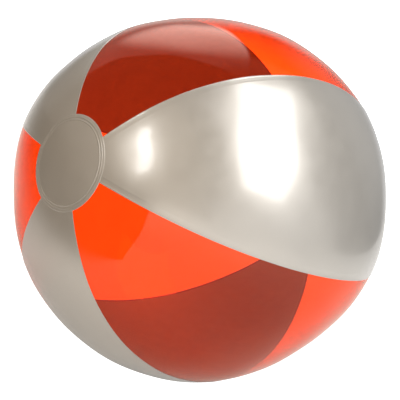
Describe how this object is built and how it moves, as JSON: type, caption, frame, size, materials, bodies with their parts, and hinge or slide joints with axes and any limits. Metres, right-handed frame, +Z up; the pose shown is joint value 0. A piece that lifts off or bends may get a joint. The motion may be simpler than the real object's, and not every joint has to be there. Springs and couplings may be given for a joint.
{
  "type": "inflatable beach ball",
  "caption": "Inflatable beach ball of silver and see-through orange film panels from pole to pole, with end discs and a push-in air valve.",
  "frame": {"origin": "centre of the inflated ball", "axes": "X is the pole axis, with the plain end disc at -X and the disc nearer the valve at +X; +Z is up, through the middle of orange panel 1"},
  "size_m": [0.2804, 0.28, 0.2797],
  "materials": {
    "silver_film": "metallic silver vinyl film, glossy, opaque",
    "orange_film": "see-through orange vinyl film, glossy",
    "clear_vinyl": "soft clear vinyl moulding, satin"
  },
  "bodies": {
    "envelope": {"silver_panel_1": "silver_film", "silver_panel_2": "silver_film", "silver_panel_3": "silver_film", "orange_panel_1": "orange_film", "orange_panel_2": "orange_film", "orange_panel_3": "orange_film", "end_cap_plain": "silver_film", "end_cap_valve_end": "silver_film", "valve_flange": "clear_vinyl", "valve_web": "clear_vinyl"},
    "stem": {"valve_stem": "clear_vinyl"},
    "stopper": {"stopper": "clear_vinyl", "stopper_strap": "clear_vinyl"},
    "flap": {"check_flap": "clear_vinyl"}
  },
  "joints": [
    {"name": "valve_pull", "type": "slide", "parent": "envelope", "child": "stem", "axis": [0.866, 0.433, 0.25], "range_m": [0, 0.011], "deforming": ["valve_web"]},
    {"name": "stopper_flip", "type": "hinge", "parent": "stem", "child": "stopper", "pos_m": [0.11748, 0.06774, 0.03911], "axis": [0, -0.5, 0.866], "range_deg": [0, 150]},
    {"name": "flap_open", "type": "hinge", "parent": "stem", "child": "flap", "pos_m": [0.10926, 0.05903, 0.03408], "axis": [0, 0.5, -0.866], "range_deg": [0, 45], "stiffness_Nm_per_rad": 0.00001, "springref_deg": -17.19}
  ]
}
